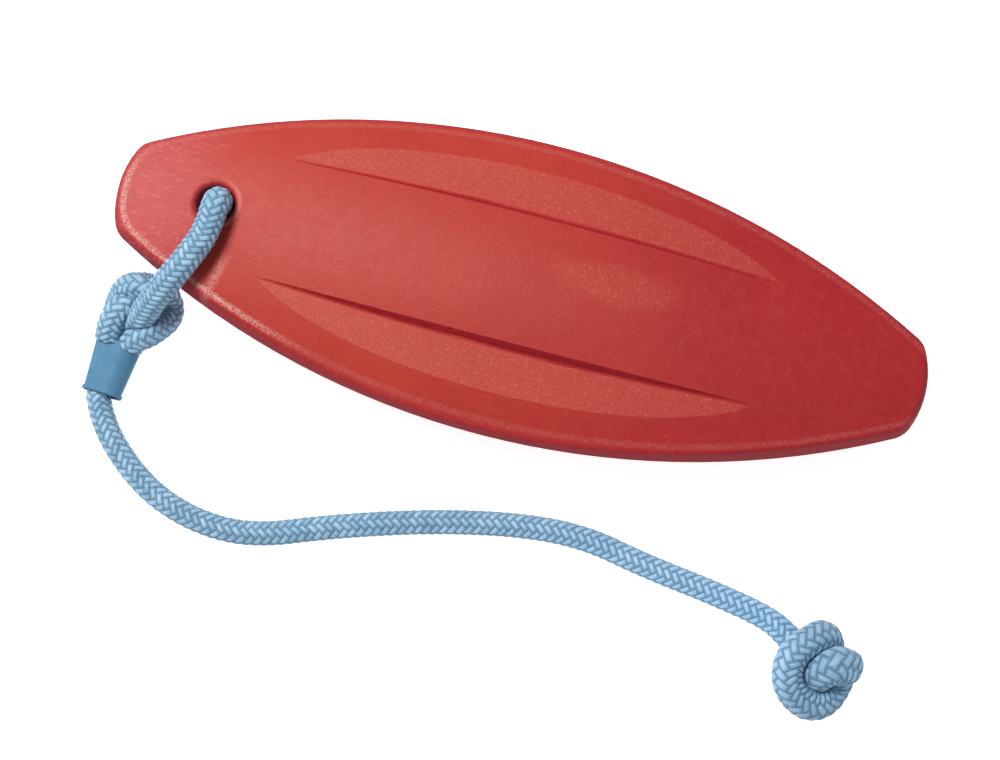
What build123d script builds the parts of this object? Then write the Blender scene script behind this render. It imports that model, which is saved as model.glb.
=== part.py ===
from build123d import *
import os
from math import cos, pi, radians, sin, tan

# Floating retrieving toy: a surfboard-shaped moulded float with a braided rope lanyard.
# Millimetres. Origin on the ground below the middle of the float, +X towards the nose,
# -X towards the tail with the lanyard hole, +Z up.

# --- the float ---
FLOAT_LENGTH = 252.4        # outline at the parting line, where the side wall stands out furthest
FLOAT_WIDTH = 92.4
FLOAT_HEIGHT = 33.0
PARTING_Z = 17.0
END_WIDTH = 29.0            # between the corners at either end, before rounding
END_BULGE = 3.7             # how far the end stands out beyond its corners
CORNER_R = 8.5
WALL_TAPER = 14.0           # draft of the side wall above and below the parting line, degrees
DECK_R_ALONG = 800.0        # crown of the upper side, seen from the side
DECK_R_ACROSS = 94.0        # crown of the upper side, seen from the end
KEEL_R_ALONG = 540.0        # rocker of the underside
KEEL_R_ACROSS = 220.0
KEEL_FLAT_DEPTH = 0.4       # the round underside is cut off flat by this much
DECK_EDGE_R = 2.0
KEEL_EDGE_R = 2.0
SKIN = 2.5                  # skin thickness over the foam
CORE_SIDE_INSET = 4.0       # the core's straight sides stand in by this much more

# --- the long scooped facets either side of the spine ---
SPINE_HALF = 21.2           # foot of the facet's steep wall, from the centre line
SPINE_BOW_R = 1066.0        # the spine is a little wider in the middle
FACET_DRAFT = 27.0          # lean of the steep wall, degrees
FACET_FOOT_R = 1.2
DECK_FACET_Z = 27.5         # height of the facet at the foot of its wall
DECK_FACET_FALL = 0.08      # outward slope of the facet
KEEL_FACET_Z = 3.9
KEEL_FACET_FALL = 0.133
FACET_SWING = 5.5           # half angle of the facet's sweep, degrees
TOOL_REACH = 62.0           # cutting tools reach this far to the side
FACET_TOOL_HEIGHT = 9.0     # and the facets' tools this far up or down

# --- the lanyard hole ---
HOLE_X = -94.0
HOLE_R = 5.65
DECK_LIP_R = 1.8
KEEL_LIP_R = 3.0

# --- the rope lanyard ---
ROPE_D = 8.0
ARC_SHARE = 0.45            # share of the shorter run that an arc takes at each end
LOOP_ROUTE = [
    (-111.9, -38.3, 9.0),
    (-99.9, -25.0, 32.0),
    (HOLE_X, 0.0, 34.0),
    (HOLE_X, 0.0, 4.1),
    (-103.4, -19.2, 4.1),
    (-110.3, -29.6, 4.5),
]
TAIL_ROUTE = [
    (-116.8, -61.9, 4.0),
    (-117.13, -68.8, 4.0),
    (-109.5, -78.3, 4.0),
    (-94.5, -87.0, 4.0),
    (-76.5, -92.0, 4.0),
    (-59.0, -91.8, 4.0),
    (-37.5, -83.2, 4.0),
    (-10.0, -74.2, 4.0),
    (17.0, -68.0, 4.0),
    (38.0, -66.4, 4.0),
    (57.5, -70.2, 4.0),
    (80.0, -72.9, 4.0),
    (97.5, -76.0, 4.0),
    (106.0, -80.0, 4.6),
]

# --- the two knots, as closed solids of their outer shape ---
HITCH_CENTRE = (-111.0, -35.0)
HITCH_RADII = (12.4, 11.6)
HITCH_HEIGHT = 15.0
HITCH_EDGE_R = 5.0
KNOT_CENTRE = (114.5, -87.2)
KNOT_RADII = (12.8, 13.6)
KNOT_HEIGHT = 21.0
KNOT_EDGE_R = 8.0

# --- the clamp sleeve round both strands ---
SLEEVE_TOP = (-114.8, -45.3)
SLEEVE_MOUTH = (-115.6, -61.9)
SLEEVE_Z = 5.2
SLEEVE_TOP_SIZE = (14.0, 10.4)
SLEEVE_MOUTH_SIZE = (11.5, 9.4)
SLEEVE_WALL = 1.0
SLEEVE_CORNER_R = 4.6
RIM_SIZE = (12.4, 10.4)     # the rolled rim at the lower mouth
RIM_LENGTH = 1.2
RIM_EDGE_R = 0.5
SHORT_END_GAP = 2.6         # the rope's short end stops this far inside the mouth

half_length = FLOAT_LENGTH / 2
half_width = FLOAT_WIDTH / 2
half_end = END_WIDTH / 2
corner_x = half_length - END_BULGE

sleeve_start = Vector(*SLEEVE_TOP, SLEEVE_Z)
sleeve_run = Vector(*SLEEVE_MOUTH, SLEEVE_Z) - sleeve_start
sleeve_length = sleeve_run.length
sleeve_dir = sleeve_run.normalized()
sleeve_side = Vector(0, 0, 1).cross(sleeve_dir)


def sleeve_plane(distance):
    """Plane across the sleeve, at a distance along it from its upper end."""
    return Plane(sleeve_start + sleeve_dir * distance, x_dir=sleeve_side, z_dir=sleeve_dir)


def facet_cutter(foot_y, foot_z, fall, rise):
    """Tool that scoops the facet on the +Y side; rise is 1 for the deck, -1 for the keel."""
    centre_y = foot_y - SPINE_BOW_R
    swing = radians(FACET_SWING)
    outward = Vector(-sin(swing), cos(swing), 0)
    across = Vector(cos(swing), sin(swing), 0)
    reach = SPINE_BOW_R + TOOL_REACH - foot_y
    far_z = foot_z + rise * FACET_TOOL_HEIGHT
    lean = FACET_TOOL_HEIGHT * tan(radians(FACET_DRAFT))
    with BuildPart() as cutter:
        with BuildSketch(Plane((0, centre_y, 0), x_dir=outward, z_dir=across)) as profile:
            with BuildLine():
                Polyline(
                    (SPINE_BOW_R - lean, far_z),
                    (SPINE_BOW_R, foot_z),
                    (reach, foot_z - fall * (TOOL_REACH - foot_y)),
                    (reach, far_z),
                    close=True,
                )
            make_face()
            foot = profile.vertices().sort_by(lambda v: abs(v.Z - foot_z))[0]
            fillet(foot, radius=FACET_FOOT_R)
        revolve(axis=Axis((0, centre_y, 0), (0, 0, 1)), revolution_arc=-2 * FACET_SWING)
    return cutter.part


def crowned_disc(axis_z, r_along, r_across, half_turn):
    """Half disc about an axis along Y with a crowned rim; half_turn is 1 for the upper half."""
    rim_x = r_along - r_across + (r_across**2 - TOOL_REACH**2) ** 0.5
    with BuildPart() as disc:
        with BuildSketch(Plane.XY.offset(axis_z)):
            with BuildLine():
                ThreePointArc((rim_x, -TOOL_REACH), (r_along, 0), (rim_x, TOOL_REACH))
                Polyline((rim_x, TOOL_REACH), (0, TOOL_REACH), (0, -TOOL_REACH), (rim_x, -TOOL_REACH))
            make_face()
        revolve(axis=Axis((0, 0, axis_z), (0, -half_turn, 0)), revolution_arc=180)
    return disc.part


def float_form(inset):
    """The float's outer shape without its hole, or that shape offset inwards by inset."""
    deck_disc = crowned_disc(
        FLOAT_HEIGHT - DECK_R_ALONG, DECK_R_ALONG - inset, DECK_R_ACROSS - inset, 1
    )
    keel_disc = crowned_disc(
        KEEL_R_ALONG - KEEL_FLAT_DEPTH, KEEL_R_ALONG - inset, KEEL_R_ACROSS - inset, -1
    )
    foot_y = SPINE_HALF - inset
    deck_cutter = facet_cutter(foot_y, DECK_FACET_Z - inset, DECK_FACET_FALL, 1)
    keel_cutter = facet_cutter(foot_y, KEEL_FACET_Z + inset, KEEL_FACET_FALL, -1)
    side = inset + CORE_SIDE_INSET if inset else 0
    taper = 0 if inset else WALL_TAPER
    end_x, end_y = corner_x - side, half_end - side / 2
    tip_x, mid_y = half_length - side, half_width - side
    with BuildPart() as form:
        with BuildSketch(Plane.XY.offset(PARTING_Z)) as planform:
            with BuildLine():
                ThreePointArc((end_x, end_y), (0, mid_y), (-end_x, end_y))
                ThreePointArc((-end_x, end_y), (-tip_x, 0), (-end_x, -end_y))
                ThreePointArc((-end_x, -end_y), (0, -mid_y), (end_x, -end_y))
                ThreePointArc((end_x, -end_y), (tip_x, 0), (end_x, end_y))
            make_face()
            fillet(planform.vertices(), radius=CORNER_R - side / 2)
        extrude(amount=FLOAT_HEIGHT - PARTING_Z, taper=taper)
        extrude(planform.sketch, amount=PARTING_Z - inset, dir=(0, 0, -1), taper=taper)
        add(deck_disc, mode=Mode.INTERSECT)
        add(keel_disc, mode=Mode.INTERSECT)
        if not inset:
            deck = form.faces().filter_by(GeomType.TORUS).sort_by(Axis.Z)[-1]
            fillet(deck.outer_wire().edges(), radius=DECK_EDGE_R)
            crowned = form.faces().filter_by(GeomType.TORUS).sort_by(SortBy.AREA)[-2:]
            keel = crowned.sort_by(Axis.Z)[0]
            fillet(keel.outer_wire().edges(), radius=KEEL_EDGE_R)
        split(bisect_by=Plane.XZ, keep=Keep.BOTTOM)
        add(deck_cutter, mode=Mode.SUBTRACT)
        add(keel_cutter, mode=Mode.SUBTRACT)
        mirror(about=Plane.XZ)
    return form.part


def rope(name, route):
    """Tube along straight runs joined by arcs as large as the runs allow."""
    points = [Vector(*p) for p in route]
    runs = [b - a for a, b in zip(points, points[1:])]
    radii = []
    for before, after in zip(runs, runs[1:]):
        half_turn = radians(before.get_angle(after)) / 2
        shorter = min(before.length, after.length)
        radii.append(ARC_SHARE * shorter / tan(half_turn))
    with BuildPart() as tube:
        with BuildLine() as path:
            FilletPolyline(*points, radius=radii)
        with BuildSketch(Plane(points[0], z_dir=runs[0])):
            Circle(ROPE_D / 2)
        sweep()
    length = sum(edge.length for edge in path.line.edges())
    share = tube.part.volume / (pi * (ROPE_D / 2) ** 2 * length)
    print(name, "length", round(length, 1), "volume over section times length", round(share, 4))
    print("  radii", [round(r, 1) for r in radii])
    return tube.part


def lump(centre, radii, height, edge_r):
    """Rounded oval solid that stands on the ground, the outer shape of a knot."""
    with BuildPart() as oval:
        with BuildSketch(Plane((*centre, 0))):
            Ellipse(*radii)
        extrude(amount=height)
        fillet(oval.edges().filter_by(GeomType.LINE, reverse=True), radius=edge_r)
    return oval.part


def sleeve_loft(inset, length):
    """Oval body along the sleeve's axis, inset from the sleeve's outside."""
    share = length / sleeve_length
    with BuildPart() as body:
        for place, grow in ((0, 0), (length, share)):
            wide = SLEEVE_TOP_SIZE[0] + grow * (SLEEVE_MOUTH_SIZE[0] - SLEEVE_TOP_SIZE[0])
            tall = SLEEVE_TOP_SIZE[1] + grow * (SLEEVE_MOUTH_SIZE[1] - SLEEVE_TOP_SIZE[1])
            with BuildSketch(sleeve_plane(place)):
                RectangleRounded(wide - 2 * inset, tall - 2 * inset, SLEEVE_CORNER_R - inset)
        loft()
    return body.part


# --- float ---
outer_form = float_form(0)
inner_form = float_form(SKIN)

with BuildPart() as foam_core:
    add(inner_form)
    with Locations((HOLE_X, 0, 0)):
        Cylinder(HOLE_R + SKIN, 2 * FLOAT_HEIGHT, mode=Mode.SUBTRACT)
foam_core.part.label = "foam_core"

with BuildPart() as float_skin:
    add(outer_form)
    with Locations((HOLE_X, 0, 0)):
        Cylinder(HOLE_R, 2 * FLOAT_HEIGHT, mode=Mode.SUBTRACT)
    lips = float_skin.edges().filter_by_position(Axis.X, HOLE_X - 2 * HOLE_R, HOLE_X + 2 * HOLE_R)
    lips = lips.filter_by(GeomType.LINE, reverse=True).sort_by(Axis.Z)
    fillet(lips[-2:], radius=DECK_LIP_R)
    fillet(lips[:2], radius=KEEL_LIP_R)
    add(foam_core.part, mode=Mode.SUBTRACT)
float_skin.part.label = "float_skin"

# --- lanyard: the loop through the tail, its half hitch and the clamp sleeve ---
loop_tube = rope("lanyard_loop", LOOP_ROUTE)
with BuildPart() as lanyard_loop:
    add(loop_tube)
lanyard_loop.part.label = "lanyard_loop"

hitch_lump = lump(HITCH_CENTRE, HITCH_RADII, HITCH_HEIGHT, HITCH_EDGE_R)
with BuildPart() as hitch:
    add(hitch_lump)
    split(bisect_by=sleeve_plane(0), keep=Keep.BOTTOM)
hitch.part.label = "hitch"

strands = sleeve_loft(SLEEVE_WALL, sleeve_length)
sleeve_body = sleeve_loft(0, sleeve_length)
with BuildPart() as clamp_sleeve:
    add(sleeve_body)
    with BuildSketch(sleeve_plane(sleeve_length - RIM_LENGTH)):
        RectangleRounded(*RIM_SIZE, SLEEVE_CORNER_R)
    extrude(amount=RIM_LENGTH)
    mouth = clamp_sleeve.faces().sort_by(Axis.Y)[0]
    fillet(mouth.edges(), radius=RIM_EDGE_R)
    add(strands, mode=Mode.SUBTRACT)
clamp_sleeve.part.label = "clamp_sleeve"

# The two rope strands are pressed to half ovals inside the sleeve.
middle = Plane(sleeve_start, z_dir=sleeve_side)
with BuildPart() as standing_strand:
    add(strands)
    split(bisect_by=middle, keep=Keep.BOTTOM)
standing_strand.part.label = "standing_strand"

with BuildPart() as short_end:
    add(strands)
    split(bisect_by=middle, keep=Keep.TOP)
    split(bisect_by=sleeve_plane(sleeve_length - SHORT_END_GAP), keep=Keep.BOTTOM)
short_end.part.label = "short_end"

# --- lanyard: the free tail and its end knot ---
tail_tube = rope("lanyard_tail", TAIL_ROUTE)
with BuildPart() as lanyard_tail:
    add(tail_tube)
lanyard_tail.part.label = "lanyard_tail"

knot_lump = lump(KNOT_CENTRE, KNOT_RADII, KNOT_HEIGHT, KNOT_EDGE_R)
with BuildPart() as end_knot:
    add(knot_lump)
end_knot.part.label = "end_knot"

os.makedirs("parts", exist_ok=True)
export_step(foam_core.part, "parts/foam_core.step")
export_step(float_skin.part, "parts/float_skin.step")
export_step(lanyard_loop.part, "parts/lanyard_loop.step")
export_step(hitch.part, "parts/hitch.step")
export_step(clamp_sleeve.part, "parts/clamp_sleeve.step")
export_step(standing_strand.part, "parts/standing_strand.step")
export_step(short_end.part, "parts/short_end.step")
export_step(lanyard_tail.part, "parts/lanyard_tail.step")
export_step(end_knot.part, "parts/end_knot.step")
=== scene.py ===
import math

import bpy
import numpy as np
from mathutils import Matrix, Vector


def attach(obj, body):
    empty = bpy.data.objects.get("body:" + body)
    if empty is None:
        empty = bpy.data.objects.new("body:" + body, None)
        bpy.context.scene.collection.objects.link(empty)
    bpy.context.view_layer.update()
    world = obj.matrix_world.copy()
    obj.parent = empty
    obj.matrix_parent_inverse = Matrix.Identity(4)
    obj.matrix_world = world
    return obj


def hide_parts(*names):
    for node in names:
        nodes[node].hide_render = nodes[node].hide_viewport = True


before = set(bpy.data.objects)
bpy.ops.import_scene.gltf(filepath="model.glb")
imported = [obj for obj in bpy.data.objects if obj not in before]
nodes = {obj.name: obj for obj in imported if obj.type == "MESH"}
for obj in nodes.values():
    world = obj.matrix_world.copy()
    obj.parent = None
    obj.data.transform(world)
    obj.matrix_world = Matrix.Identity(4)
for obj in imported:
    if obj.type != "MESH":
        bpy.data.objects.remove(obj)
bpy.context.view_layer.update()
MM = 0.001

# ---------------------------------------------------------------- camera
AZIMUTH, ELEVATION, DISTANCE = math.radians(14.757), math.radians(80.0), 0.600
TARGET = Vector((0.001417, -0.027391, 0.010))
SENSOR_WIDTH, LENS = 36.0, 71.1  # millimetres

cam_data = bpy.data.cameras.new("camera")
cam_data.sensor_width = SENSOR_WIDTH
cam_data.lens = LENS
cam_data.clip_start, cam_data.clip_end = 0.01, 20.0
camera = bpy.data.objects.new("camera", cam_data)
bpy.context.scene.collection.objects.link(camera)
look = Vector((
    -math.sin(AZIMUTH) * math.cos(ELEVATION), math.cos(AZIMUTH) * math.cos(ELEVATION), -math.sin(ELEVATION)))
camera.location = TARGET - look * DISTANCE
camera.rotation_euler = look.to_track_quat("-Z", "Y").to_euler()
bpy.context.scene.camera = camera

# ---------------------------------------------------------------- rope route
# One rope from its short end in the sleeve, round the hitch, through the hole,
# back into the sleeve, along the floor and through the end knot (millimetres).
HITCH = [
    (-112.4, -59.5, 5.2), (-111.8, -53.0, 5.2), (-111.9, -47.5, 5.4), (-110.0, -43.4, 9.0),
    (-105.4, -40.0, 9.4), (-101.9, -35.0, 6.5), (-102.2, -30.0, 6.0), (-105.8, -27.0, 10.0),
    (-110.6, -27.1, 14.2), (-115.0, -28.3, 11.6), (-118.4, -31.9, 5.4), (-118.8, -38.0, 3.9),
    (-113.0, -40.2, 3.9), (-109.8, -37.8, 9.5), (-106.9, -34.0, 17.0), (-102.2, -27.8, 25.5),
    (-97.0, -20.0, 31.0), (-93.0, -10.5, 32.3), (-92.6, 0.2, 33.5), (-93.5, 1.4, 22.0),
    (-93.5, 0.2, 5.5), (-98.5, -7.5, 4.0), (-103.5, -16.5, 4.0), (-107.5, -24.5, 4.1),
    (-110.8, -30.6, 5.8), (-115.3, -33.7, 11.2), (-118.0, -39.8, 11.2), (-117.9, -47.5, 5.6),
    (-118.0, -55.0, 5.0), (-116.6, -61.6, 4.5),
]
TAIL = [
    (-114.7, -66.9, 4.05), (-107.0, -76.6, 4.05), (-93.0, -86.9, 4.05), (-76.5, -92.0, 4.05),
    (-59.0, -91.8, 4.05), (-37.5, -83.2, 4.05), (-10.0, -74.2, 4.05), (17.0, -68.0, 4.05),
    (38.0, -66.4, 4.05), (57.5, -70.2, 4.05), (80.0, -72.9, 4.05), (97.5, -76.0, 4.1),
]
KNOT = [
    (104.0, -79.6, 4.5), (108.0, -82.4, 5.2), (112.7, -83.9, 8.5), (117.3, -83.7, 11.0),
    (121.2, -86.3, 9.5), (121.2, -90.6, 6.5), (119.4, -95.8, 7.0), (114.6, -99.0, 9.5),
    (108.0, -96.4, 12.5), (104.9, -91.0, 15.0), (105.7, -85.1, 16.5), (109.3, -80.5, 16.0),
    (113.3, -77.4, 12.5), (116.3, -78.9, 6.5), (116.7, -82.0, 4.3), (115.7, -85.8, 4.3),
    (115.0, -89.4, 8.5), (114.6, -88.8, 13.4), (117.0, -86.1, 16.2), (120.2, -84.8, 15.4),
    (123.4, -85.6, 12.8),
]
ROUTE = HITCH + TAIL + KNOT
# radius (mm) and braid pitch (mm) at places along the route, by point number
AT = [0, 8, 14, 19, 24, 27, 29, 31, 41, 43, 48, 51, 57, 60, 61, 62]
RADIUS = [4.0, 4.15, 4.35, 4.25, 4.1, 4.1, 3.85, 3.8, 3.8, 4.15, 4.7, 4.8, 4.4, 5.0, 5.1, 4.9]
PITCH = [16, 15, 16, 16, 16, 16, 18, 20.4, 20.4, 20, 19, 19, 17, 13.5, 13.5, 13.5]
RING_STEP = 0.33 * MM  # between the rings of the rope's mesh
AROUND = 48            # points in a ring
STRANDS = 8            # strands that turn each way
RELIEF = 0.44          # depth of the braid, mm
SWELL_LIMIT = 1.16     # most that a turn squeezed on one side swells on the others
SOFTNESS = 0.22        # how gently a side flattens where it meets something, mm
END_ROUND, END_SHARE = 1.1, 0.75  # the last length that rounds off, mm, and the share of the radius left

# ---------------------------------------------------------------- what the rope meets
# The float's form, as in the CAD part (millimetres): an outline of two side arcs and two bowed ends,
# walls that lean in from the parting line, and a deck and keel that curve both ways.
HALF_LENGTH, END_BOW = 126.2, 0.0176
SIDE_RADIUS, SIDE_CENTRE = 252.6, 206.4
PARTING_HEIGHT, WALL_LEAN = 17, 0.249
DECK_HEIGHT, DECK_CROWN, DECK_ROCKER = 33, 94, 1600
KEEL_CROWN, KEEL_ROCKER, KEEL_CUT = 440, 1080, 0.4
HOLE_X, HOLE_RADIUS = -94.0, 5.65
SWINGS = (-25, -17, -8, 0, 8)  # angles through the range of the hinge at the hole, degrees
NEAR_FLOAT_X = -75  # only the rope this side of here can meet the float
# The room inside the sleeve (millimetres): the middle of its top and of its mouth, its height over the
# floor, and half its width and half its height at the top with what each loses by the mouth.
SLEEVE_TOP, SLEEVE_MOUTH, SLEEVE_MID = np.array((-114.8, -45.3)), np.array((-115.6, -61.9)), 5.2
SLEEVE_HALF_WIDTH, SLEEVE_NARROWS = 5.55, 1.25
SLEEVE_HALF_HEIGHT, SLEEVE_FLATTENS = 3.75, 0.5
SLEEVE_END, SLEEVE_SIDE, SLEEVE_OVER = 0.3, 9, 12  # how far past its ends, beside and over it still counts
FLOAT_GAP, FLOOR_GAP, SLEEVE_GAP = 0.3, 0.15, 0.15
REACHES = np.arange(5.8, 0.9, -0.1)  # distances from the rope's middle tested against the float, longest first
TURN_STEP = 0.8  # the rope's other turns are looked for at points this far apart along it, mm
TURN_SEARCH = 2.6  # and within this many radii
OTHER_TURN = 3.2  # rope nearer along than this isn't another turn, mm
TURN_PRESS = 0.1  # how far sides that meet press past each other, mm
LEAST_ROOM, LEAST_RADIUS = 0.8, 0.5  # mm
NO_LIMIT = 99.0
TINY = 1e-6


def nurbs_line(points):
    """The smooth NURBS line that the control points shape, and the place of each of its points among them."""
    data = bpy.data.curves.new("rope_route", "CURVE")
    data.dimensions = "3D"
    data.resolution_u = 24
    spline = data.splines.new("NURBS")
    spline.points.add(len(points) - 1)
    for point, (x, y, z) in zip(spline.points, points):
        point.co = (x * MM, y * MM, z * MM, 1.0)
    spline.order_u = 3
    spline.use_endpoint_u = True
    curve = bpy.data.objects.new("rope_route", data)
    mesh = bpy.data.meshes.new_from_object(curve)
    line = np.array([v.co for v in mesh.vertices], float).reshape(-1, 3)
    bpy.data.objects.remove(curve)
    bpy.data.meshes.remove(mesh)
    place = np.linspace(0, len(points) - 2, len(line)) + 0.5
    place[0], place[-1] = 0, len(points) - 1
    return line, place


def resample(line, place, step):
    """The line's points at even steps, each one's place on the route and its distance along."""
    along = np.concatenate([[0], np.cumsum(np.linalg.norm(np.diff(line, axis=0), axis=1))])
    at = np.linspace(0, along[-1], int(round(along[-1] / step)) + 1)
    points = np.stack([np.interp(at, along, line[:, k]) for k in range(3)], axis=1)
    return points, np.interp(at, along, place), at


def ring_axes(centres):
    """Two directions across the line at each point, carried along it without twist."""
    tangent = np.gradient(centres, axis=0)
    tangent /= np.linalg.norm(tangent, axis=1)[:, None]
    normal = np.zeros_like(tangent)
    n = np.cross(tangent[0], (0.0, 0.0, 1.0))
    for i, t in enumerate(tangent):
        n = n - t * n.dot(t)
        n /= np.linalg.norm(n)
        normal[i] = n
    return normal, np.cross(tangent, normal)


def running_mean(values, width):
    """The values smoothed by a bell-shaped window of so many steps each way."""
    kernel = np.hanning(width * 2 + 3)[1:-1]
    padded = np.pad(values, width, mode="edge")
    return np.convolve(padded, kernel / kernel.sum(), mode="valid")


def weave(u, v):
    """Height, 0 to 1, of a sixteen-strand braid laid two over, two under."""
    a, b = u - v, u + v
    k, l = np.floor(a), np.floor(b)
    m = np.mod(k + l, 4)
    right = m < 1.5
    along = np.where(right, b - l + m, a - k + m - 2) / 2
    across = np.where(right, a - k, b - l)
    crown = 1 - np.abs(2 * across - 1) ** 2.2
    dive = 1 - np.abs(2 * along - 1) ** 2.6
    return np.clip(crown, 0, 1) ** 0.7 * np.clip(dive, 0, 1) ** 0.7


def meets_float(points):
    """Whether points are inside the float at any angle of the lanyard's hinge."""
    hit = np.zeros(points.shape[:-1], bool)
    for swing in SWINGS:
        c, s = math.cos(math.radians(swing)), math.sin(math.radians(swing))
        out, y0, z = points[..., 0] - HOLE_X, points[..., 1], points[..., 2]
        x, y = HOLE_X + out * c - y0 * s, out * s + y0 * c
        lean = np.abs(z - PARTING_HEIGHT) * WALL_LEAN
        half = np.sqrt(SIDE_RADIUS ** 2 - np.clip(x, -HALF_LENGTH, HALF_LENGTH) ** 2) - SIDE_CENTRE
        crown = DECK_CROWN - np.sqrt(np.maximum(DECK_CROWN ** 2 - y ** 2, 0))
        deck = DECK_HEIGHT - crown - x ** 2 / DECK_ROCKER
        keel = y ** 2 / KEEL_CROWN + x ** 2 / KEEL_ROCKER - KEEL_CUT
        within = (np.abs(y) + lean < half) & (np.abs(x) + END_BOW * y ** 2 + lean < HALF_LENGTH)
        hit |= within & (z < deck) & (z > keel) & (np.hypot(out, y0) > HOLE_RADIUS)
    return hit


def free_radius(centres, along, directions, radius):
    """How far each side of the rope can swell before it meets the rope's other turns, the floor,
    the float or the sleeve."""
    limit = np.full(directions.shape[:2], NO_LIMIT)
    step = max(1, int(round(TURN_STEP / (along[1] - along[0]))))
    others, where = centres[::step], along[::step]
    for i, c in enumerate(centres):
        w = others - c
        gap = (w * w).sum(1)
        near = (gap < (TURN_SEARCH * radius[i]) ** 2) & (np.abs(where - along[i]) > OTHER_TURN)
        if near.any():
            dots = directions[i] @ w[near].T
            halfway = np.where(dots > TINY, gap[near] / (2 * np.maximum(dots, TINY)), NO_LIMIT)
            limit[i] = np.minimum(limit[i], halfway.min(1))

    down = np.maximum(-directions[:, :, 2], TINY)
    limit = np.minimum(limit, (centres[:, 2][:, None] - FLOOR_GAP) / down)

    beside = np.flatnonzero(centres[:, 0] < NEAR_FLOAT_X)
    for reach in REACHES:
        at = centres[beside, None, :] + directions[beside] * reach
        limit[beside] = np.where(
            meets_float(at), np.minimum(limit[beside], reach - FLOAT_GAP), limit[beside])

    axis = SLEEVE_MOUTH - SLEEVE_TOP
    length = np.linalg.norm(axis)
    axis = axis / length
    side = np.array((-axis[1], axis[0]))
    offset = centres[:, :2] - SLEEVE_TOP
    into, aside = offset @ axis, offset @ side
    inside = (into > -SLEEVE_END) & (into < length + SLEEVE_END)
    inside &= (np.abs(aside) < SLEEVE_SIDE) & (centres[:, 2] < SLEEVE_OVER)
    share = np.clip(into / length, 0, 1)
    wide = SLEEVE_HALF_WIDTH - SLEEVE_NARROWS * share
    high = SLEEVE_HALF_HEIGHT - SLEEVE_FLATTENS * share
    lateral, rise = directions[:, :, :2] @ side, directions[:, :, 2]
    room_wide = (wide[:, None] - np.sign(lateral) * aside[:, None]) / np.maximum(np.abs(lateral), TINY)
    over = (centres[:, 2] - SLEEVE_MID)[:, None]
    room_high = (high[:, None] - np.sign(rise) * over) / np.maximum(np.abs(rise), TINY)
    boxed = np.minimum(limit, np.maximum(np.minimum(room_wide, room_high), LEAST_ROOM)) - SLEEVE_GAP
    return np.where(inside[:, None], boxed, limit)


def braided_rope(name, line, place):
    """The rope's mesh along the line, with its centres and its length in metres."""
    centres, place, along = resample(line, place, RING_STEP)
    mm_centres, mm_along = centres / MM, along / MM
    radius = running_mean(np.interp(place, AT, RADIUS), 12)
    pitch = np.interp(place, AT, PITCH)
    normal, binormal = ring_axes(centres)
    theta = np.linspace(0, 2 * np.pi, AROUND, endpoint=False)
    directions = (np.cos(theta)[None, :, None] * normal[:, None, :]
                  + np.sin(theta)[None, :, None] * binormal[:, None, :])
    limit = free_radius(mm_centres, mm_along, directions, radius)
    fill = (np.minimum(limit, radius[:, None]) ** 2).mean(1) / radius ** 2
    grown = radius * running_mean(np.clip(1 / np.sqrt(fill), 1, SWELL_LIMIT), 8)
    rows = np.cumsum(STRANDS / pitch) * (mm_along[1] - mm_along[0])
    u = np.broadcast_to(theta[None, :] / (2 * np.pi) * STRANDS, directions.shape[:2])
    v = np.broadcast_to(rows[:, None], u.shape)
    to_end = np.clip(np.minimum(mm_along, mm_along[-1] - mm_along) / END_ROUND, 0, 1)
    cap = np.sqrt(np.clip(1 - (1 - to_end) ** 2, 0, 1)) * (1 - END_SHARE) + END_SHARE
    wanted = grown[:, None] - RELIEF * (1 - weave(u, v))
    soft = -SOFTNESS * np.logaddexp(-wanted / SOFTNESS, -(limit + TURN_PRESS) / SOFTNESS)
    size = np.maximum(soft, LEAST_RADIUS) * cap[:, None]
    points = mm_centres[:, None, :] + directions * size[:, :, None]

    rings = len(centres)
    verts = np.concatenate([points.reshape(-1, 3), mm_centres[[0, -1]]]) * MM
    i, j = np.meshgrid(np.arange(rings - 1), np.arange(AROUND), indexing="ij")
    i, j = i.ravel(), j.ravel()
    k = (j + 1) % AROUND
    quads = np.stack([i * AROUND + j, i * AROUND + k, (i + 1) * AROUND + k, (i + 1) * AROUND + j], axis=1)
    first_tip, last_tip, last_ring = rings * AROUND, rings * AROUND + 1, (rings - 1) * AROUND
    caps = [(first_tip, (s + 1) % AROUND, s) for s in range(AROUND)]
    caps += [(last_tip, last_ring + s, last_ring + (s + 1) % AROUND) for s in range(AROUND)]
    mesh = bpy.data.meshes.new(name)
    mesh.from_pydata(verts.tolist(), [], quads.tolist() + caps)
    mesh.shade_smooth()

    layer = mesh.uv_layers.new(name="braid")
    quad_u = np.stack([j, j + 1, j + 1, j], axis=1) * (STRANDS / AROUND)
    quad_v = rows[np.stack([i, i, i + 1, i + 1], axis=1)]
    cap_corners = 3 * AROUND
    uv = np.concatenate([np.stack([quad_u, quad_v], axis=2).reshape(-1, 2), np.zeros((2 * cap_corners, 2))])
    uv[-cap_corners:, 1] = rows[-1]
    layer.data.foreach_set("uv", uv.astype(np.float32).ravel())
    rope = bpy.data.objects.new(name, mesh)
    bpy.context.scene.collection.objects.link(rope)
    return rope, centres, along[-1]


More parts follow.
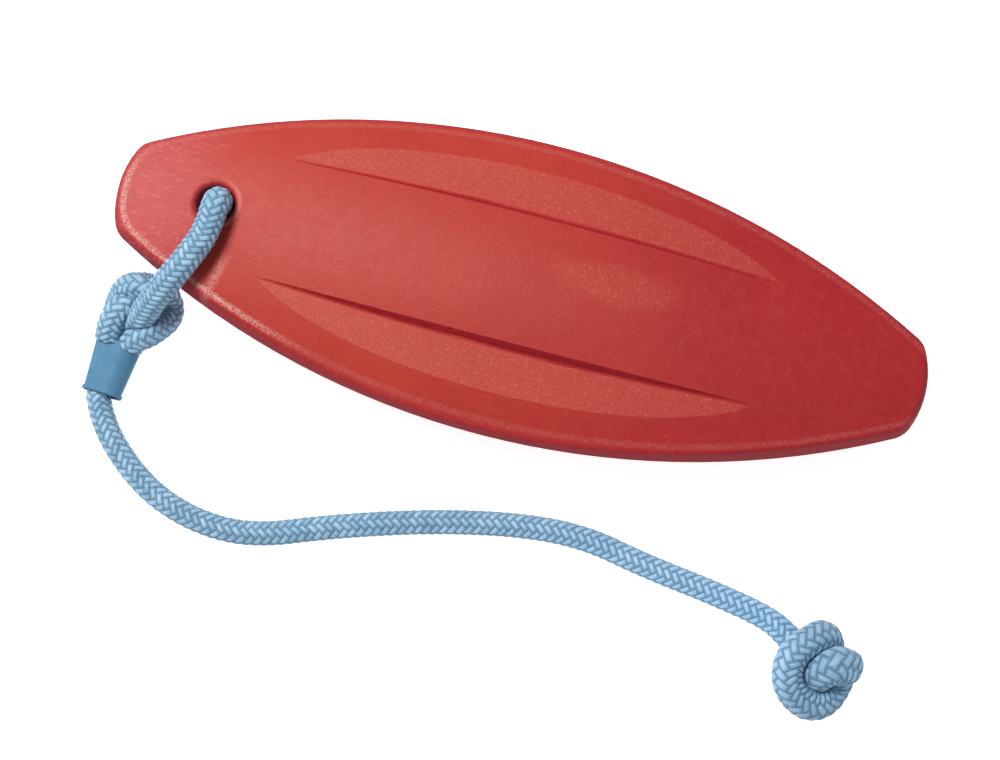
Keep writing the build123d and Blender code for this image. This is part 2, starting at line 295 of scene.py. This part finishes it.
# ---------------------------------------------------------------- material helpers
class Graph:
    """Short names for building one node material."""

    def __init__(self, name):
        self.material = bpy.data.materials.new(name)
        self.material.use_nodes = True
        self.tree = self.material.node_tree
        self.shader = self.tree.nodes["Principled BSDF"]

    def node(self, kind, **settings):
        made = self.tree.nodes.new(kind)
        for key, value in settings.items():
            setattr(made, key, value)
        return made

    def put(self, socket, value):
        if isinstance(value, bpy.types.NodeSocket):
            self.tree.links.new(value, socket)
        else:
            socket.default_value = value

    def fill(self, made, *values):
        """Puts values into a node's first inputs and returns the node."""
        for socket, value in zip(made.inputs, values):
            self.put(socket, value)
        return made

    def math(self, operation, *values):
        return self.fill(self.node("ShaderNodeMath", operation=operation), *values).outputs[0]

    def times(self, first, *others):
        for other in others:
            first = self.math("MULTIPLY", first, other)
        return first

    def smooth(self, value, low, high, to_low=0.0, to_high=1.0):
        """A smooth step from to_low to to_high as the value goes from low to high."""
        made = self.node("ShaderNodeMapRange", interpolation_type="SMOOTHSTEP")
        return self.fill(made, value, low, high, to_low, to_high).outputs[0]

    def band(self, value, start, full, fade, stop):
        """1 where the value is between full and fade, falling to 0 at start and at stop."""
        return self.times(self.smooth(value, start, full), self.smooth(value, stop, fade))

    def split(self, vector):
        return self.fill(self.node("ShaderNodeSeparateXYZ"), vector).outputs

    def join(self, *values):
        return self.fill(self.node("ShaderNodeCombineXYZ"), *values).outputs[0]

    def mix(self, share, first, second):
        made = self.node("ShaderNodeMix", data_type="RGBA")
        self.put(made.inputs[0], share)
        self.put(made.inputs[6], first)
        self.put(made.inputs[7], second)
        return made.outputs[2]

    def choose(self, share, first, second):
        """A number between first and second."""
        made = self.node("ShaderNodeMix", data_type="FLOAT")
        self.put(made.inputs[0], share)
        self.put(made.inputs[2], first)
        self.put(made.inputs[3], second)
        return made.outputs[0]

    def noise(self, vector, scale, detail=3.0, roughness=0.55, distortion=0.0):
        made = self.node("ShaderNodeTexNoise")
        self.put(made.inputs["Vector"], vector)
        for key, value in (("Scale", scale), ("Detail", detail), ("Roughness", roughness),
                           ("Distortion", distortion)):
            self.put(made.inputs[key], value)
        return made.outputs[0]

    def stretch(self, vector, scale, rotation=(0, 0, 0)):
        made = self.node("ShaderNodeMapping")
        self.put(made.inputs["Vector"], vector)
        made.inputs["Scale"].default_value = scale
        made.inputs["Rotation"].default_value = rotation
        return made.outputs[0]

    def distance(self, vector, scale, centre):
        """How far a place is from a centre once its axes are scaled."""
        made = self.node("ShaderNodeVectorMath", operation="DISTANCE")
        self.put(made.inputs[0], self.stretch(vector, scale))
        made.inputs[1].default_value = centre
        return made.outputs["Value"]

    def where(self):
        return self.node("ShaderNodeTexCoord").outputs["Object"]

    def bump(self, height, strength, distance, under=None):
        made = self.node("ShaderNodeBump")
        made.inputs["Strength"].default_value = strength
        made.inputs["Distance"].default_value = distance
        self.put(made.inputs["Height"], height)
        if under is not None:
            self.put(made.inputs["Normal"], under)
        return made.outputs[0]

    def constant(self, **sockets):
        """Sets values that are the same all over on the shader itself."""
        for key, value in sockets.items():
            self.shader.inputs[key.replace("_", " ")].default_value = value

    def finish(self, **sockets):
        for key, value in sockets.items():
            self.put(self.shader.inputs[key.replace("_", " ")], value)
        return self.material


# ---------------------------------------------------------------- materials (linear colours, metres)
ROPE_PALE, ROPE_MID, ROPE_GROOVE_SHADE = (0.34, 0.60, 0.81, 1), (0.20, 0.43, 0.64, 1), (0.036, 0.115, 0.215, 1)
ROPE_FIBRE, ROPE_FUZZ, ROPE_FADED = (0.50, 0.62, 0.82, 1), (0.52, 0.70, 0.86, 1), (0.38, 0.68, 1.0, 1)
ROPE_SOIL, KNOT_SOIL = (0.15, 0.30, 0.44, 1), (0.13, 0.24, 0.35, 1)


def rope_material():
    g = Graph("rope")
    u, v, _ = g.split(g.node("ShaderNodeUVMap", uv_map="braid").outputs[0])
    # the strand on top here, and the place across and along it, as in weave()
    a, b = g.math("SUBTRACT", u, v), g.math("ADD", u, v)
    k, l = g.math("FLOOR", a), g.math("FLOOR", b)
    past_k, past_l = g.math("SUBTRACT", a, k), g.math("SUBTRACT", b, l)
    m = g.math("FLOORED_MODULO", g.math("ADD", k, l), 4.0)
    left = g.math("GREATER_THAN", m, 1.5)
    step = g.math("SUBTRACT", m, g.times(left, 2.0))
    along = g.times(g.math("ADD", g.choose(left, past_l, past_k), step), 0.5)
    across = g.choose(left, past_k, past_l)
    edge = g.math("ABSOLUTE", g.math("SUBTRACT", g.times(across, 2.0), 1.0))
    tip = g.math("ABSOLUTE", g.math("SUBTRACT", g.times(along, 2.0), 1.0))
    groove = g.math("MAXIMUM", g.smooth(edge, 0.35, 1.0), g.smooth(tip, 0.50, 1.0))
    crease = g.math("MAXIMUM", g.smooth(edge, 0.62, 1.0), g.smooth(tip, 0.72, 1.0))
    # each strand has a shade of its own, and fibres that run along it
    strand_k = g.math("FLOORED_MODULO", g.math("SUBTRACT", k, g.times(left, step)), 97.0)
    strand_l = g.math("FLOORED_MODULO", g.math("SUBTRACT", l, g.choose(left, step, 0.0)), 89.0)
    white = g.node("ShaderNodeTexWhiteNoise", noise_dimensions="3D")
    g.put(white.inputs["Vector"], g.join(strand_k, strand_l, left))
    chance = white.outputs["Value"]
    fibres = g.noise(g.join(g.times(across, 9.0), g.times(along, 1.6), g.times(chance, 31.0)), 1.0, 2.0, 0.6)
    spot = g.where()
    soiled = g.noise(spot, 260.0, 2.0)
    fuzz = g.noise(spot, 1500.0, 3.0, 0.7)
    # the free tail is more faded towards the end knot, and the knot is more soiled
    x = g.split(spot)[0]
    knot = g.smooth(x, 0.098, 0.110)
    faded = g.times(g.smooth(x, -0.03, 0.09, 0.0, 0.60), g.choose(knot, 1.0, 0.45))
    colour = g.mix(g.smooth(chance, 0.0, 1.0), ROPE_MID, ROPE_PALE)
    colour = g.mix(g.smooth(fibres, 0.42, 0.75, 0.0, 0.5), colour, ROPE_FIBRE)
    colour = g.mix(g.smooth(soiled, 0.42, 0.66, 0.0, 0.35), colour, ROPE_SOIL)
    colour = g.mix(g.smooth(fuzz, 0.46, 0.68, 0.0, 0.34), colour, ROPE_FUZZ)
    colour = g.mix(faded, colour, ROPE_FADED)
    colour = g.mix(g.times(knot, 0.26), colour, KNOT_SOIL)
    # painted shade: the grooves and creases between the stitches are darkened towards deep blue
    colour = g.mix(g.times(groove, 0.36), colour, ROPE_GROOVE_SHADE)
    colour = g.mix(g.times(crease, 0.54), colour, ROPE_GROOVE_SHADE)
    height = g.math("ADD", g.math("SUBTRACT", 1.0, groove), g.times(fibres, 0.45))
    g.constant(Sheen_Weight=0.18, Sheen_Roughness=0.45, Sheen_Tint=(0.82, 0.92, 1.0, 1),
               Specular_IOR_Level=0.45)
    return g.finish(Base_Color=colour, Roughness=g.smooth(fibres, 0.2, 0.8, 0.62, 0.42),
                    Normal=g.bump(height, 0.7, 0.00035))


CRIMSON = (0.355, 0.013, 0.019, 1), (0.385, 0.017, 0.021, 1)
LIT_ORANGE = (0.430, 0.034, 0.024, 1), (0.470, 0.042, 0.028, 1)
TIP_HIGHLIGHT_PINK, MOTTLE, FACET_HIGHLIGHT_RED, SCRATCH_AND_GLINT_PALE = (
    (0.50, 0.072, 0.080, 1), (0.52, 0.060, 0.040, 1), (0.50, 0.082, 0.052, 1), (0.66, 0.21, 0.15, 1))
WALL_SHADE_RED, RIM_SHADE_RED, WEAR_AND_HIGHLIGHT_PALE = (0.36, 0.009, 0.021, 1), (0.40, 0.014, 0.022, 1), (0.80, 0.50, 0.44, 1)
LIP_HIGHLIGHT, LIP_SHADE = (0.66, 0.22, 0.19, 1), (0.27, 0.008, 0.014, 1)
HOLE_CENTRE = (HOLE_X * MM, 0.0, 0.0)
SPINE_PATCH_SCALE, SPINE_PATCH = (1, 3, 0), (0.028, 0.0145, 0.0)  # a long patch, with its width scaled up
STREAK_X, STREAK_Y, STREAK_COS, STREAK_SIN = -0.0884, -0.022, 0.966, 0.269


def float_material():
    g = Graph("float_skin")
    spot = g.where()
    x, y, z = g.split(spot)
    y_size = g.math("ABSOLUTE", y)
    facing_up = g.split(g.node("ShaderNodeNewGeometry").outputs["Normal"])[2]
    cloud = g.noise(spot, 22.0, 4.0, 0.6)
    mottle = g.noise(spot, 300.0, 4.0, 0.65)
    grain = g.noise(spot, 1150.0, 3.0, 0.7)
    from_hole = g.distance(spot, (1, 1, 0), HOLE_CENTRE)
    upper = g.smooth(z, 0.012, 0.018)
    # the plastic goes from crimson to a lighter orange towards the tail as painted light, and to pink at its
    # tip as a painted highlight
    blotch = g.smooth(cloud, 0.3, 0.72)
    colour = g.mix(g.smooth(x, 0.105, -0.050), g.mix(blotch, *CRIMSON), g.mix(blotch, *LIT_ORANGE))
    colour = g.mix(g.smooth(x, -0.085, -0.120, 0.0, 0.7), colour, TIP_HIGHLIGHT_PINK)
    colour = g.mix(g.smooth(mottle, 0.45, 0.75, 0.0, 0.16), colour, MOTTLE)
    # painted shade: the steep walls are darkened to a deeper red
    colour = g.mix(g.times(g.smooth(facing_up, 0.94, 0.45), 0.9), colour, WALL_SHADE_RED)
    # painted highlight: the flat facets on the upper side and a patch of the spine are painted paler where
    # they face the light
    facet = g.times(g.smooth(facing_up, 0.982, 0.990), g.smooth(y_size, 0.0185, 0.0205))
    patch = g.smooth(g.distance(spot, SPINE_PATCH_SCALE, SPINE_PATCH), 0.024, 0.010)
    facet_highlight = g.times(g.math("MAXIMUM", facet, patch), upper)
    colour = g.mix(g.times(facet_highlight, 0.27), colour, FACET_HIGHLIGHT_RED)
    # a line of wear set in from the outline, strongest round the tail and elsewhere a painted edge highlight,
    # with painted shade in a deeper red outside it
    half = g.math("SQRT", g.math("SUBTRACT", (SIDE_RADIUS * MM) ** 2, g.times(x, x)))
    half = g.math("SUBTRACT", half, SIDE_CENTRE * MM)
    from_side = g.math("SUBTRACT", half, y_size)
    from_end = g.math("SUBTRACT", g.math("ADD", x, HALF_LENGTH * MM), g.times(y, y, END_BOW / MM))
    inset = g.math("SMOOTH_MIN", from_side, from_end, 0.006)
    ridge = g.times(g.band(inset, 0.0024, 0.0034, 0.0040, 0.0052), g.smooth(from_hole, 0.011, 0.016), upper)
    tail = g.times(g.smooth(x, -0.052, -0.085), g.smooth(y, 0.014, 0.000))
    chips = g.smooth(g.noise(spot, 1700.0, 3.0, 0.8), 0.40, 0.60)
    wear_and_edge_highlight = g.times(ridge, chips, g.choose(tail, 0.11, 0.72))
    colour = g.mix(g.times(g.smooth(inset, 0.0042, 0.0018), 0.45), colour, RIM_SHADE_RED)
    # the rope has rubbed a pale streak beside itself, near the edge
    off_x, off_y = g.math("SUBTRACT", x, STREAK_X), g.math("SUBTRACT", y, STREAK_Y)
    beside = g.math("SUBTRACT", g.times(off_x, STREAK_COS), g.times(off_y, STREAK_SIN))
    down = g.math("ADD", g.times(off_x, STREAK_SIN), g.times(off_y, STREAK_COS))
    streak = g.times(g.smooth(g.math("ABSOLUTE", beside), 0.0024, 0.0004),
                     g.smooth(g.math("ABSOLUTE", down), 0.009, 0.004))
    wear_and_edge_highlight = g.math("MAXIMUM", wear_and_edge_highlight, g.times(streak, chips, upper, 0.42))
    # the hole's lip has a painted highlight towards the nose and painted shade towards the tail
    ring = g.times(g.band(from_hole, 0.0064, 0.0071, 0.0077, 0.0084), upper)
    colour = g.mix(g.times(ring, g.smooth(x, -0.096, -0.088, 0.0, 0.4)), colour, LIP_HIGHLIGHT)
    shade = g.times(g.smooth(from_hole, 0.0086, 0.0066), g.smooth(x, -0.090, -0.098, 0.0, 0.6))
    colour = g.mix(shade, colour, LIP_SHADE)
    # fine scratches all over, scuffs at the tail, and pale specks that are painted glints, most on the facets
    # and spine patch with the painted highlight
    swirl = g.noise(g.stretch(spot, (260, 900, 400), (0, 0, 0.5)), 1.0, 2.0, 0.6, 1.6)
    scuffed = g.times(g.smooth(swirl, 0.55, 0.63), upper, g.smooth(x, -0.085, -0.110, 0.0, 0.32))
    scratch = g.noise(g.stretch(spot, (150, 1600, 400), (0, 0, 0.5)), 1.0, 2.0, 0.6, 0.4)
    scratched = g.math("MAXIMUM", g.smooth(scratch, 0.68, 0.76, 0.0, 0.12), scuffed)
    glint_specks = g.times(g.smooth(grain, 0.52, 0.70), g.choose(facet_highlight, 0.10, 0.34))
    colour = g.mix(g.math("MAXIMUM", scratched, glint_specks), colour, SCRATCH_AND_GLINT_PALE)
    colour = g.mix(wear_and_edge_highlight, colour, WEAR_AND_HIGHLIGHT_PALE)
    rough = g.math("ADD", g.smooth(mottle, 0.35, 0.7, 0.46, 0.54), g.times(wear_and_edge_highlight, 0.2))
    moulded = g.bump(g.math("ADD", grain, g.times(mottle, 0.7)), 0.42, 0.00030)
    cut = g.bump(g.times(g.math("MAXIMUM", scratched, wear_and_edge_highlight), -1.0), 0.3, 0.0002, moulded)
    g.constant(Specular_IOR_Level=0.26, Subsurface_Weight=0.04, Subsurface_Radius=(0.004, 0.001, 0.001),
               Subsurface_Scale=0.5)
    return g.finish(Base_Color=colour, Roughness=rough, Normal=cut)


SLEEVE_BLUE = (0.078, 0.222, 0.362, 1), (0.092, 0.250, 0.400, 1)
FOAM_CREAM = (0.62, 0.60, 0.54, 1), (0.74, 0.72, 0.66, 1)


def sleeve_material():
    g = Graph("sleeve")
    spot = g.where()
    soft = g.noise(spot, 90.0, 3.0)
    grain = g.noise(spot, 1400.0, 2.0)
    height = g.math("ADD", g.times(grain, 0.3), soft)
    g.constant(Specular_IOR_Level=0.22)
    return g.finish(Base_Color=g.mix(g.smooth(soft, 0.35, 0.65), *SLEEVE_BLUE),
                    Roughness=g.smooth(grain, 0.3, 0.7, 0.56, 0.66), Normal=g.bump(height, 0.10, 0.0003))


def foam_material():
    g = Graph("foam_core")
    spot = g.where()
    cells = g.node("ShaderNodeTexVoronoi")
    g.put(cells.inputs["Vector"], spot)
    cells.inputs["Scale"].default_value = 900.0
    shade = g.noise(spot, 60.0, 3.0)
    return g.finish(Base_Color=g.mix(g.smooth(shade, 0.3, 0.7), *FOAM_CREAM),
                    Roughness=g.smooth(shade, 0.3, 0.7, 0.75, 0.9),
                    Normal=g.bump(cells.outputs[0], 0.5, 0.0004))


def set_material(obj, material):
    obj.data.materials.clear()
    obj.data.materials.append(material)


# ---------------------------------------------------------------- rope
rope, path, rope_length = braided_rope("lanyard_rope", *nurbs_line(ROUTE))
set_material(rope, rope_material())
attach(rope, "lanyard")
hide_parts("lanyard_loop", "hitch", "standing_strand", "short_end", "lanyard_tail", "end_knot")

# ---------------------------------------------------------------- carried-over nodes
set_material(nodes["float_skin"], float_material())
set_material(nodes["foam_core"], foam_material())
set_material(nodes["clamp_sleeve"], sleeve_material())

# ---------------------------------------------------------------- floor and light
FLOOR_REACH, FLOOR_DROP = 3, 0.0002
FLOOR_TONES = (0.86, 0.86, 0.86, 1), (0.88, 0.88, 0.88, 1)
WORLD_COLOUR, WORLD_STRENGTH = (0.93, 0.96, 1.0, 1), 0.28

floor_mesh = bpy.data.meshes.new("floor")
floor_mesh.from_pydata(
    [(-FLOOR_REACH, -FLOOR_REACH, 0), (FLOOR_REACH, -FLOOR_REACH, 0),
     (FLOOR_REACH, FLOOR_REACH, 0), (-FLOOR_REACH, FLOOR_REACH, 0)], [], [(0, 1, 2, 3)])
floor = bpy.data.objects.new("floor", floor_mesh)
floor.location = (0, 0, -FLOOR_DROP)
bpy.context.scene.collection.objects.link(floor)
floor_graph = Graph("floor")
floor_colour = floor_graph.mix(floor_graph.noise(floor_graph.where(), 3.0), *FLOOR_TONES)
set_material(floor, floor_graph.finish(
    Base_Color=floor_colour, Roughness=0.9, Emission_Color=(1, 1, 1, 1), Emission_Strength=0.80))
floor.visible_glossy = False  # the float's glossy sides don't mirror the studio floor


def area_light(name, right, forward, up, size, power, tone):
    """A round soft light aimed at the object, placed across, along and above the picture in metres."""
    data = bpy.data.lights.new(name, "AREA")
    data.shape, data.size, data.energy, data.color = "DISK", size, power, tone
    light = bpy.data.objects.new(name, data)
    across = Vector((math.cos(AZIMUTH), math.sin(AZIMUTH), 0))
    along = Vector((-math.sin(AZIMUTH), math.cos(AZIMUTH), 0))
    light.location = across * right + along * forward + Vector((0, 0, up))
    light.rotation_euler = (-light.location).to_track_quat("-Z", "Y").to_euler()
    bpy.context.scene.collection.objects.link(light)


area_light("key", right=-0.50, forward=0.34, up=1.15, size=0.50, power=16.5, tone=(1.0, 0.975, 0.945))
area_light("fill", right=0.9, forward=-0.5, up=0.9, size=0.9, power=1.2, tone=(0.95, 0.97, 1.0))

world = bpy.data.worlds.new("world")
world.use_nodes = True
background = world.node_tree.nodes["Background"]
background.inputs[0].default_value = WORLD_COLOUR
background.inputs[1].default_value = WORLD_STRENGTH
bpy.context.scene.world = world
bpy.context.scene.view_settings.view_transform = "Standard"
